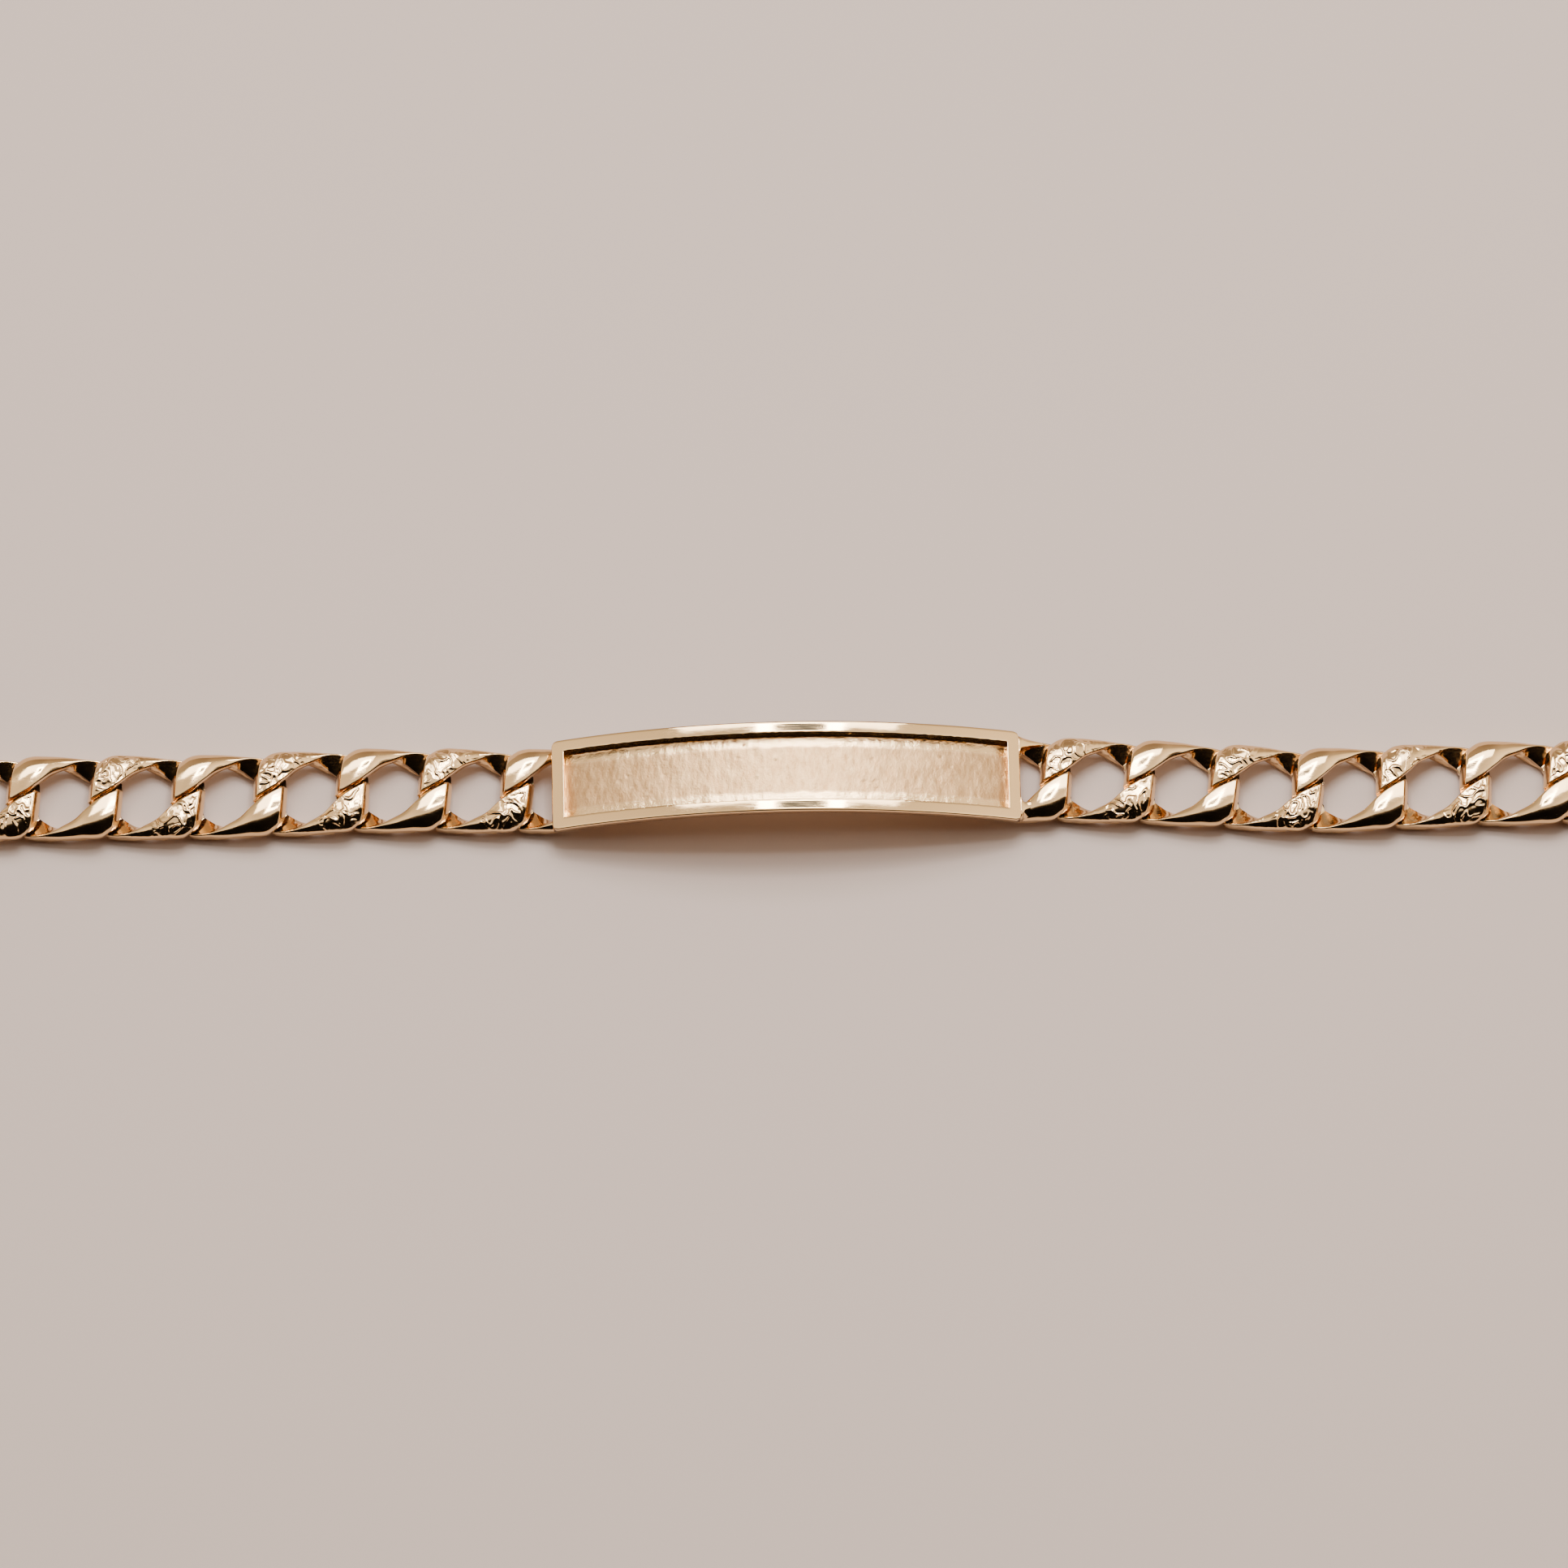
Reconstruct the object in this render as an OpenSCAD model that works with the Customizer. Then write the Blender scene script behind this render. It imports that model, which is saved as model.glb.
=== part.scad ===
// Id bracelet of cast yellow gold, unfastened and laid straight, face up.
// An arched name plate with a raised border sits between two runs of flat curb links.
// X runs along the bracelet, Z is up, and the origin is below the middle of its box.

/* [Name plate] */
// Length of the plate between its two end faces
plate_l = 31.6; // [28:0.1:36]
// Width of the plate
plate_w = 6.3; // [5.5:0.1:7.5]
// Thickness of the plate at its border
plate_t = 1.35; // [1.2:0.05:1.8]
// Radius of the arch, to the top of the border
plate_r = 39.5; // [32:0.5:60]
// How far the border's top stands above the links at the plate's ends
plate_rise = 0.05; // [0:0.05:0.3]
// Width of the raised border
border_w = 0.83; // [0.6:0.01:1.1]
// Depth of the sunk panel
panel_d = 0.95; // [0.4:0.05:1]
// Radius of the plate's corners, seen from above
corner_r = 0.45; // [0.2:0.05:0.8]
// Radius of the sunk panel's corners
panel_corner_r = 0.15; // [0.05:0.05:0.3]
// How far a half-link is let into the end of the plate
solder_depth = 0.3; // [0.1:0.05:0.4]
// Length of a whole link that is missing beyond the middle, where a half-link meets its carrier
half_cut = 0.4; // [0.2:0.05:0.8]

/* [Links] */
// Length of a link
link_l = 8.1; // [7.6:0.05:8.6]
// Width of a link
link_w = 5.85; // [5.4:0.05:6.2]
// Thickness of the chain
link_t = 2.4; // [2.2:0.05:2.8]
// How far a link reaches past the point where it crosses its neighbour
hook = 1.23; // [1.15:0.01:1.3]
// Width of a link's side bar at its middle
arm_w = 0.98; // [0.85:0.01:1.1]
// Angle between the chain and the seam where two neighbours' faces meet
seam_angle = 31; // [28:0.5:34]
// Clearance across that seam
seam_gap = 0.45; // [0.35:0.01:0.5]
// Clearance between a link's raised corner and the sunk corner of its neighbour below it
level_gap = 0.1; // [0.08:0.01:0.2]
// Radius of the chain's gently crowned face, across the chain
crown_r = 18; // [12:1:30]
// Radius of the rounded flanks between the crown and the chain's edges
flank_r = 1.6; // [1.3:0.1:1.8]
// How far the rounding would run on past the chain's edge
flank_past = 0.6; // [0.45:0.05:0.7]
// How fast a link's side bar falls along the chain, from a raised corner to a sunk one
bar_fall = 0.36; // [0.25:0.01:0.45]
// How far each side bar leans inwards, as a fall across the chain
bar_lean = 0.3; // [0.15:0.05:0.4]
// Where a side bar starts to fall at its outer side, before the link's middle
fall_start = 1; // [0.6:0.1:1.4]
// Width of the bevel on a link's ends, seen from above
end_bevel = 0.5; // [0.3:0.05:0.6]
// Slant of a link's bevelled ends from square
end_slant = 12; // [8:1:14]
// Height of half of a link's upright end face
end_face = 0.25; // [0.15:0.05:0.4]
// Height of the bark relief
bark_h = 0.16; // [0.1:0.01:0.2]
// How much longer than a full link's reach each step of the left chain lies, or shorter below 0
left_play = -0.08; // [-0.1:0.01:0.06]
// The same for the right chain
right_play = 0.04; // [-0.1:0.01:0.06]

/* [Clasp] */
// Length of the claw's loop
clasp_l = 12; // [10:0.5:14]
// Width of the claw's loop
clasp_w = 6; // [5.2:0.1:7]
// Thickness of the claw
clasp_t = 2; // [1.6:0.1:2.2]
// Width of the metal round the claw's opening
clasp_wall = 1.4; // [1.2:0.1:1.6]
// How much narrower than a link the neck between the half-link and the loop is
neck_inset = 1.45; // [1:0.05:1.6]
// Radius of the thumb knob on the claw's side
knob_r = 0.7; // [0.5:0.05:0.9]

/* [Hidden] */
$fn = 48;

gold = "#d9b483";
gold_bark = "#c9a06a";
over = 0.2; // what a cutting shape reaches past the surface that it cuts

half_l = link_l / 2;
half_w = link_w / 2;
half_t = link_t / 2;
pitch = link_l - 2 * hook;
neck_w = link_w - neck_inset;
flank_start = half_w + flank_past - flank_r;
crown_facets = 3; // on each side of the chain's middle
flank_facets = 4;

// Headings of the plate and of the links from the plate outwards, in degrees, as the chain lies
plate_heading = 1.3;
left_headings = [-0.8, 0.2, 3.1, 2, 0, 0.8, 0.6, 0.2, 0, -0.2, 0, 0.2];
right_headings = [-1.3, -3.2, -3.3, 2.2, 2.9, 0.8, 0.6, 0.2, 0, -0.4, 0, 0.4];
clasp_heading = 0.6;

// Outer edge of a link's raised corner: shares of half the length and of half the width
CORNER = [
    [-0.995, 0],
    [-0.985, 0.14],
    [-0.945, 0.4],
    [-0.905, 0.62],
    [-0.86, 0.76],
    [-0.755, 0.87],
    [-0.635, 0.955],
    [-0.5, 0.995],
    [-0.2, 1],
    [0.07, 0.965],
    [0.35, 0.91],
    [0.5, 0.885]
];
// Inner edge beyond the link's middle: share of half the length, share of the bar's width left
TAPER = [
    [0.5, 0.5],
    [0.35, 0.55]
];
// Inner edge of a sunk corner, from the link's middle to its end bar: shares as for the outer edge
SUNK_INNER = [
    [0, 0.77],
    [-0.106, 0.725],
    [-0.27, 0.633],
    [-0.43, 0.48]
];
sunk_seam_end = -0.444; // share of half the length at which a sunk corner's seam edge ends
sunk_narrowing = 0.95; // share of the raised corner's outer edge that a sunk one has
// Bark lumps: shares of half the length and half the width, share of the bar's width as radius
LUMPS = [
    [-0.84, 0.1, 0.3],
    [-0.8, 0.42, 0.3],
    [-0.66, 0.24, 0.36],
    [-0.68, 0.62, 0.33],
    [-0.5, 0.44, 0.34],
    [-0.47, 0.8, 0.36],
    [-0.29, 0.56, 0.3],
    [-0.22, 0.82, 0.3],
    [-0.02, 0.8, 0.32]
];

function link_name(side, i) = str("link_", side, "_", i < 10 ? "0" : "", i);
function along(heading) = [cos(heading), sin(heading)];
function turned(p, heading) = [
    p.x * cos(heading) - p.y * sin(heading),
    p.x * sin(heading) + p.y * cos(heading)
];

// Where each link crosses the one before it: side is -1 to the left and 1 to the right
function step(side) = side * (pitch + (side < 0 ? left_play : right_play));
function headings(side) = side < 0 ? left_headings : right_headings;
function crossing(side, i) =
    i == 0
        ? (side * (plate_l / 2 - half_cut) + step(side) / 2) * along(plate_heading)
        : crossing(side, i - 1) + step(side) * along(headings(side)[i - 1]);
function link_centre(side, i) =
    crossing(side, i) + step(side) / 2 * along(headings(side)[i]);
clasp_centre = crossing(1, len(right_headings)) + step(1) / 2 * along(clasp_heading);
clasp_reach = clasp_l + half_cut;

// Plan of a link's raised corner, from the tip under its neighbour round to the far end
seam_rise = hook * tan(seam_angle);
seam_side = seam_gap / 2 / cos(seam_angle);
leaf = concat(
    [[-half_l, seam_side - seam_rise]],
    [for (p = CORNER) [p.x * half_l, p.y * half_w]],
    [for (p = TAPER) [p.x * half_l, half_w - p.y * arm_w]],
    [[0, half_w - arm_w], [2 * hook - half_l, seam_side + seam_rise]]
);

// Plan of a sunk corner, as it looks when the link is turned over
sunk_leaf = concat(
    [leaf[0]],
    [for (p = CORNER) [p.x * half_l, p.y * half_w * (p.y > 0 ? sunk_narrowing : 1)]],
    [for (p = SUNK_INNER) [p.x * half_l, p.y * half_w]],
    [[
        sunk_seam_end * half_l,
        seam_side + (sunk_seam_end * half_l + half_l - hook) * tan(seam_angle)
    ]]
);

// Box of the whole bracelet, to put the origin below its middle
function link_reach(heading, axis) = max([
    for (p = leaf, sx = [-1, 1], sy = [-1, 1]) turned([sx * p.x, sy * p.y], heading)[axis]
]);
link_places = [
    for (side = [-1, 1], i = [0:len(left_headings) - 1])
        [link_centre(side, i), headings(side)[i]]
];
plate_reach_y =
    (plate_l / 2 - corner_r) * sin(plate_heading)
    + (plate_w / 2 - corner_r) * cos(plate_heading) + corner_r;
last = link_places[len(left_headings) - 1];
box_left = last[0].x - link_reach(last[1], 0);
box_right = clasp_centre.x + turned([clasp_reach - clasp_w / 2, 0], clasp_heading).x + clasp_w / 2;
knob_place = clasp_centre + turned([clasp_reach - clasp_l / 2, clasp_w / 2], clasp_heading);
box_front = min([for (p = link_places) p[0].y - link_reach(p[1], 1), -plate_reach_y]);
box_back = max([
    for (p = link_places) p[0].y + link_reach(p[1], 1),
    plate_reach_y,
    knob_place.y + knob_r
]);
box_middle = [(box_left + box_right) / 2, (box_front + box_back) / 2];

function last_x(plan) = max([for (p = plan) p.x]);

module place(centre, heading) {
    translate([centre.x - box_middle.x, centre.y - box_middle.y, half_t])
        rotate(heading)
            children();
}

module leaf_plan() {
    polygon(leaf);
}

module sunk_plan() {
    polygon(sunk_leaf);
}

// The four corners of a link: two raised ones on one diagonal and two sunk ones on the other
module leaves() {
    for (a = [0, 180]) {
        rotate(a)
            translate([0, 0, level_gap / 2])
                linear_extrude(half_t)
                    leaf_plan();
        rotate([180, 0, a])
            translate([0, 0, level_gap / 2])
                linear_extrude(half_t)
                    sunk_plan();
    }
}

// Where a raised and a sunk corner lie over each other, the metal runs through
module full_height() {
    for (a = [0, 180], m = [[0, 1], [1, 0]])
        rotate(a)
            linear_extrude(link_t + over, center = true)
                intersection() {
                    leaf_plan();
                    mirror(m) sunk_plan();
                }
}

module link_metal() {
    leaves();
    full_height();
}

// The chain's cross-section: a crowned face over rounded flanks, and a flat underside
function flank_fall(y) =
    y <= flank_start ? 0 : flank_r - sqrt(pow(flank_r, 2) - pow(y - flank_start, 2));
function crown_fall(y) = crown_r - sqrt(pow(crown_r, 2) - pow(y, 2));
module crown(top) {
    across = concat(
        [for (i = [0:crown_facets]) flank_start * i / crown_facets],
        [for (i = [1:flank_facets]) flank_start + (half_w + over - flank_start) * i / flank_facets]
    );
    last_row = len(across) - 1;
    rotate([90, 0, 90])
        linear_extrude(link_l + over, center = true)
            polygon(concat(
                [for (i = [last_row:-1:1])
                    [-across[i], top - crown_fall(across[i]) - flank_fall(across[i])]],
                [for (y = across) [y, top - crown_fall(y) - flank_fall(y)]],
                [for (i = [last_row:-1:crown_facets]) [across[i], flank_fall(across[i]) - half_t]],
                [for (i = [crown_facets:last_row]) [-across[i], flank_fall(across[i]) - half_t]]
            ));
}

// The bevels on a link's ends follow their slant, above on the raised corners, below on the sunk ones
module end_bevels() {
    tip = leaf[0];
    slope = end_bevel / (half_t - end_face);
    for (a = [0, 180], turn = [[0, 0, a], [180, 0, a]])
        rotate(turn)
            translate([tip.x, tip.y, 0])
                rotate([90, 0, -end_slant])
                    linear_extrude(2 * link_w, center = true)
                        polygon([
                            [0, end_face],
                            [end_bevel + slope * over, half_t + over],
                            [-link_w, half_t + over],
                            [-link_w, end_face]
                        ]);
}

// The side bars fall from each raised corner to the sunk one beyond it, and lean in towards the hole
module bar_falls() {
    for (a = [0, 180], turn = [[0, 0, a], [180, 0, a]])
        rotate(turn)
            intersection() {
                translate([-fall_start, half_w, half_t])
                    rotate([atan(bar_lean), atan(bar_fall), 0])
                        translate([-link_l, -link_w, 0])
                            cube([2 * link_l, 2 * link_w, link_t]);
                translate([-half_l, -leaf[0].y, level_gap / 2])
                    cube([half_l + last_x(leaf) + over, link_w, link_t]);
            }
}

module plain_link() {
    difference() {
        intersection() {
            link_metal();
            crown(half_t);
        }
        end_bevels();
        bar_falls();
    }
}

// Cast bark: a leaf of lumps that stand up from a lowered face
module bark_lumps(seed) {
    turns = rands(0, 72, len(LUMPS), seed);
    for (i = [0:len(LUMPS) - 1])
        translate([LUMPS[i].x * half_l, LUMPS[i].y * half_w])
            rotate(turns[i])
                circle(r = LUMPS[i].z * arm_w, $fn = 5);
}

module bark_link(seed) {
    difference() {
        union() {
            intersection() {
                link_metal();
                crown(half_t - bark_h);
            }
            for (a = [0, 180])
                intersection() {
                    rotate(a)
                        translate([0, 0, level_gap])
                            linear_extrude(half_t)
                                intersection() {
                                    leaf_plan();
                                    bark_lumps(seed + a);
                                }
                    crown(half_t);
                }
        }
        end_bevels();
        bar_falls();
    }
}

// Half of a link, to the left of its middle, that is soldered to what carries it
module half_link() {
    depth = half_l + solder_depth - half_cut;
    intersection() {
        plain_link();
        translate([-half_l - over, -link_w, -link_t])
            cube([depth + over, 2 * link_w, 2 * link_t]);
    }
}

module rounded_plan(l, w, r) {
    square([l - 2 * r, w], center = true);
    square([l, w - 2 * r], center = true);
    for (x = [-1, 1], y = [-1, 1])
        translate([x * (l / 2 - r), y * (w / 2 - r)])
            circle(r);
}

// A band of the arch between two depths below the border's top
module arch(above, below, w) {
    middle_z = half_t + plate_rise - sqrt(pow(plate_r, 2) - pow(plate_l / 2, 2));
    intersection() {
        translate([0, 0, middle_z])
            rotate([90, 0, 0])
                linear_extrude(w, center = true)
                    difference() {
                        circle(plate_r + above, $fn = 360);
                        circle(plate_r - below, $fn = 360);
                    }
        translate([-plate_l / 2 - over, -w / 2 - over, -link_t])
            cube([plate_l + 2 * over, w + 2 * over, plate_r]);
    }
}

module id_plate() {
    color(gold)
        place([0, 0], plate_heading) {
            difference() {
                intersection() {
                    arch(0, plate_t, plate_w + over);
                    linear_extrude(plate_r, center = true)
                        rounded_plan(plate_l, plate_w, corner_r);
                }
                intersection() {
                    arch(over, panel_d, plate_w);
                    linear_extrude(plate_r, center = true)
                        rounded_plan(
                            plate_l - 2 * border_w, plate_w - 2 * border_w, panel_corner_r
                        );
                }
            }
            for (a = [0, 180])
                rotate(a)
                    translate([half_cut - plate_l / 2, 0, 0])
                        half_link();
        }
}

module chain_link(side, i) {
    color(i % 2 == 1 ? gold_bark : gold)
        place(link_centre(side, i - 1), headings(side)[i - 1])
            if (i % 2 == 1)
                bark_link(10 * i + side);
            else
                plain_link();
}

module round_ended_plan(l, w) {
    square([l - w, w], center = true);
    for (x = [-1, 1])
        translate([x * (l - w) / 2, 0])
            circle(w / 2);
}

module clasp() {
    color(gold)
        place(clasp_centre, clasp_heading) {
            half_link();
            linear_extrude(clasp_t, center = true)
                difference() {
                    union() {
                        translate([clasp_reach - clasp_l / 2, 0])
                            round_ended_plan(clasp_l, clasp_w);
                        translate([-half_cut, -neck_w / 2])
                            square([clasp_wall + 2 * half_cut, neck_w]);
                        translate([clasp_reach - clasp_l / 2, clasp_w / 2])
                            circle(knob_r);
                    }
                    translate([clasp_reach - clasp_l / 2, 0])
                        round_ended_plan(clasp_l - 2 * clasp_wall, clasp_w - 2 * clasp_wall);
                }
        }
}

id_plate();
for (i = [1:12]) {
    chain_link(-1, i);
    chain_link(1, i);
}
clasp();
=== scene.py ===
# %% [markdown]
# An id bracelet is a name plate worn on the wrist, on a chain of flat curb links. This one is cast
# in yellow gold and lies straight and face up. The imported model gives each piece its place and
# size, and this script dresses each one with a finer mesh, edge roundings, cast relief and a gold
# finish.

import math

import bmesh
import bpy
from mathutils import Matrix, Vector, noise


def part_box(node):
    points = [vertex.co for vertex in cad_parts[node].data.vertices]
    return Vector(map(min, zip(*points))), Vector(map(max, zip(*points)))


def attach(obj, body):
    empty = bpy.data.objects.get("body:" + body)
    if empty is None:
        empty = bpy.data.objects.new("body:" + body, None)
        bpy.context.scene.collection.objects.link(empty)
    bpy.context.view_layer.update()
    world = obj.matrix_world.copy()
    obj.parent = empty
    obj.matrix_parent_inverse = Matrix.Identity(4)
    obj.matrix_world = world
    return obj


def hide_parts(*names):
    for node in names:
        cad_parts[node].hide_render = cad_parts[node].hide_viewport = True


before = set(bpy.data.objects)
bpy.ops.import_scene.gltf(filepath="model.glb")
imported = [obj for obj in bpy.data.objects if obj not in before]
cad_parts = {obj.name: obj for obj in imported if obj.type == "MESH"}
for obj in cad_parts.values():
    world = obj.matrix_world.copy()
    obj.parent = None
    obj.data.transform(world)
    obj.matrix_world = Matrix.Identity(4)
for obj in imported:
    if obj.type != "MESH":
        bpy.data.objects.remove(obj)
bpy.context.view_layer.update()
print("pieces in the frame:", len(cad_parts))

# %% [markdown]
# The frame is in metres, but a link is easier to think of in millimetres. So each mesh is made in
# millimetres about its own middle, and is scaled and put in its place last of all. The links pass
# through each other 1.23 mm from their ends. A slanting seam 0.45 mm wide lies between the high
# faces of two neighbours, and a gap of 0.1 mm between the level where one covers the other.

# %% Units and the links' real sizes
MM = 0.001
LINK_L, LINK_T = 8.1, 2.4
HOOK = 1.23
SEAM_ANGLE = math.radians(31)
SEAM_GAP = 0.45
LEVEL_GAP = 0.1
HALF_L, HALF_T = LINK_L / 2, LINK_T / 2
print("a link is", LINK_L, "mm long and", LINK_T, "mm high")

# %% [markdown]
# Gold is a bare metal, so its colour is the tint of its reflections and not a paint. Nine carat
# gold is paler and pinker than pure gold. Where two gold faces look at each other the tint
# multiplies, which turns the gaps between links orange brown without any colour being painted
# there. A small helper adds a shader node, sets it and links it, so that a material reads as a
# list of its layers.

# %% Colour and node helpers
def linear(hex_colour):
    """Linear RGBA for an sRGB hex colour."""
    parts = [int(hex_colour[i : i + 2], 16) / 255 for i in (1, 3, 5)]
    return [c / 12.92 if c <= 0.04045 else ((c + 0.055) / 1.055) ** 2.4 for c in parts] + [1]


def add(tree, kind, inputs=None, **settings):
    """Adds a node. An input is a number, a colour or another node's output."""
    made = tree.nodes.new(kind)
    for name, value in settings.items():
        setattr(made, name, value)
    for socket, value in (inputs or {}).items():
        if isinstance(value, bpy.types.NodeSocket):
            tree.links.new(value, made.inputs[socket])
        else:
            made.inputs[socket].default_value = value
    return made


def new_tree(name):
    """A new material and its node tree, emptied."""
    material = bpy.data.materials.new(name)
    material.use_nodes = True
    material.node_tree.nodes.clear()
    return material, material.node_tree


def per_mm(size):
    """Texture scale at which a pattern repeats about every size millimetres."""
    return 1 / (size * MM)


GOLD = linear("#e9c391")
print("gold, as linear RGB:", [round(c, 3) for c in GOLD[:3]])

# %% [markdown]
# The links are cast nine carat gold, tumbled and buffed. Buffing leaves a soft waviness a
# millimetre or so across, which makes reflections swim, and a faint haze of hairline scratches,
# here 0.9 mm long and a ninth of that apart. Both are too shallow to model, so they are bump, and
# the haze also roughens the shine a little. The bark leaves were buffed less, so their waviness is
# finer and higher.

# %% Polished gold
HAIR_MM, HAIR_STRETCH = 0.9, 9.0


def gold_finish(name, haze, wave_mm, wave_height, hair_height):
    """Buffed gold with waves and hairline scratches, their pitch and height in millimetres."""
    material, tree = new_tree(name)
    place = add(tree, "ShaderNodeTexCoord").outputs["Object"]
    wave = add(
        tree, "ShaderNodeTexNoise", {"Vector": place, "Scale": per_mm(wave_mm), "Detail": 1.0}
    )
    stretched = add(
        tree,
        "ShaderNodeMapping",
        {
            "Vector": place,
            "Scale": (1.0, HAIR_STRETCH, HAIR_STRETCH),
            "Rotation": (0, 0, 0.35),
        },
    )
    hairs = add(
        tree,
        "ShaderNodeTexNoise",
        {
            "Vector": stretched.outputs[0],
            "Scale": per_mm(HAIR_MM),
            "Detail": 3.0,
            "Roughness": 0.6,
        },
    )
    dull = add(
        tree,
        "ShaderNodeMapRange",
        {
            "Value": hairs.outputs["Fac"],
            "From Min": 0.4,
            "From Max": 0.75,
            "To Min": haze,
            "To Max": haze * 1.9,
        },
    )
    rolling = add(
        tree,
        "ShaderNodeBump",
        {"Height": wave.outputs["Fac"], "Strength": 1.0, "Distance": wave_height * MM},
    )
    bump = add(
        tree,
        "ShaderNodeBump",
        {
            "Height": hairs.outputs["Fac"],
            "Strength": 1.0,
            "Distance": hair_height * MM,
            "Normal": rolling.outputs[0],
        },
    )
    metal = add(
        tree,
        "ShaderNodeBsdfPrincipled",
        {
            "Base Color": GOLD,
            "Metallic": 1.0,
            "Roughness": dull.outputs[0],
            "Normal": bump.outputs[0],
        },
    )
    add(tree, "ShaderNodeOutputMaterial", {"Surface": metal.outputs[0]})
    return material


polished_gold = gold_finish(
    "buffed_cast_gold", haze=0.09, wave_mm=1.6, wave_height=0.02, hair_height=0.001
)
bark_gold = gold_finish(
    "bark_cast_gold", haze=0.11, wave_mm=0.45, wave_height=0.035, hair_height=0.002
)
print("link finishes:", polished_gold.name, "and", bark_gold.name)

# %% [markdown]
# The border of the plate was lapped flat after casting, along its length, so its scratches run the
# long way. They are so shallow that the border still mirrors like glass, and noise stretched along
# the plate is enough for them.

# %% Lapped border
LAP_MM, LAP_STRETCH = 1.4, 14.0


def lapped_gold():
    material, tree = new_tree("lapped_gold")
    place = add(tree, "ShaderNodeTexCoord").outputs["Object"]
    along = add(
        tree,
        "ShaderNodeMapping",
        {"Vector": place, "Scale": (1.0, LAP_STRETCH, LAP_STRETCH)},
    )
    lines = add(
        tree,
        "ShaderNodeTexNoise",
        {
            "Vector": along.outputs[0],
            "Scale": per_mm(LAP_MM),
            "Detail": 3.0,
            "Roughness": 0.6,
        },
    )
    dull = add(
        tree,
        "ShaderNodeMapRange",
        {
            "Value": lines.outputs["Fac"],
            "From Min": 0.35,
            "From Max": 0.7,
            "To Min": 0.045,
            "To Max": 0.12,
        },
    )
    bump = add(
        tree,
        "ShaderNodeBump",
        {"Height": lines.outputs["Fac"], "Strength": 1.0, "Distance": 0.0005 * MM},
    )
    metal = add(
        tree,
        "ShaderNodeBsdfPrincipled",
        {
            "Base Color": GOLD,
            "Metallic": 1.0,
            "Roughness": dull.outputs[0],
            "Normal": bump.outputs[0],
        },
    )
    add(tree, "ShaderNodeOutputMaterial", {"Surface": metal.outputs[0]})
    return material


border_gold = lapped_gold()
print("border finish:", border_gold.name)

# %% [markdown]
# The sunk panel was left as cast. The skin of the mould shows as a fine grain with short streaks,
# and it scatters light so evenly that it looks like brushed cream. Along the long walls a strip of
# the floor is smoother, and its colour is painted paler towards plain gold. This is a painted
# sheen that brightens the floor beside the walls. The mesh carries that strip as an attribute that
# runs from 0 to 1, and the material reads it.

# %% As-cast panel
STREAK_MM, GRAIN_MM = 0.9, 0.16
AS_CAST_ROUGH, SHEEN_ROUGH = 0.44, 0.2


def as_cast_gold():
    material, tree = new_tree("as_cast_gold")
    place = add(tree, "ShaderNodeTexCoord").outputs["Object"]
    across = add(
        tree,
        "ShaderNodeMapping",
        {"Vector": place, "Scale": (2.5, 1.0, 1.0), "Rotation": (0, 0, 0.5)},
    )
    streaks = add(
        tree,
        "ShaderNodeTexNoise",
        {
            "Vector": across.outputs[0],
            "Scale": per_mm(STREAK_MM),
            "Detail": 4.0,
            "Roughness": 0.7,
        },
    )
    grain = add(
        tree,
        "ShaderNodeTexNoise",
        {"Vector": place, "Scale": per_mm(GRAIN_MM), "Detail": 3.0, "Roughness": 0.7},
    )
    # The strip along the long walls is smoother, and its colour is painted paler as a painted
    # sheen.
    wall_sheen = add(tree, "ShaderNodeAttribute", attribute_name="wall_sheen").outputs["Fac"]
    rough = add(
        tree,
        "ShaderNodeMapRange",
        {"Value": wall_sheen, "To Min": AS_CAST_ROUGH, "To Max": SHEEN_ROUGH},
    )
    tone = add(
        tree,
        "ShaderNodeMapRange",
        {"Value": streaks.outputs["Fac"], "From Min": 0.3, "From Max": 0.7},
    )
    colour = add(
        tree,
        "ShaderNodeMix",
        {"Factor": tone.outputs[0], "A": linear("#b98f62"), "B": linear("#dab384")},
        data_type="RGBA",
    )
    # Painted sheen: along the long walls the colour is mixed towards plain gold, so the floor
    # there looks lit.
    painted_sheen_colour = add(
        tree,
        "ShaderNodeMix",
        {"Factor": wall_sheen, "A": colour.outputs["Result"], "B": GOLD},
        data_type="RGBA",
    )
    shallow = add(
        tree,
        "ShaderNodeBump",
        {"Height": streaks.outputs["Fac"], "Strength": 1.0, "Distance": 0.025 * MM},
    )
    bump = add(
        tree,
        "ShaderNodeBump",
        {
            "Height": grain.outputs["Fac"],
            "Strength": 1.0,
            "Distance": 0.02 * MM,
            "Normal": shallow.outputs[0],
        },
    )
    metal = add(
        tree,
        "ShaderNodeBsdfPrincipled",
        {
            "Base Color": painted_sheen_colour.outputs["Result"],
            "Metallic": 1.0,
            "Roughness": rough.outputs[0],
            "Normal": bump.outputs[0],
        },
    )
    add(tree, "ShaderNodeOutputMaterial", {"Surface": metal.outputs[0]})
    return material


panel_gold = as_cast_gold()
print("panel finish:", panel_gold.name)

# %% [markdown]
# A flat curb link is a closed ring, twisted so that two opposite corners stand high and the other
# two lie low. Each high corner covers a low corner of its neighbour, and the high faces of two
# neighbours meet along a slanting seam. So a link is four leaves: two high ones face up, and two
# low ones lie turned over beside them. A twisted bar could be swept round the ring, but the seams
# and the chamfer along them would be hard to place. A table of cross-sections from a leaf's end to
# the far end of its side bar is easy to set against the real link, and a smooth curve runs through
# each of its columns.

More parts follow.
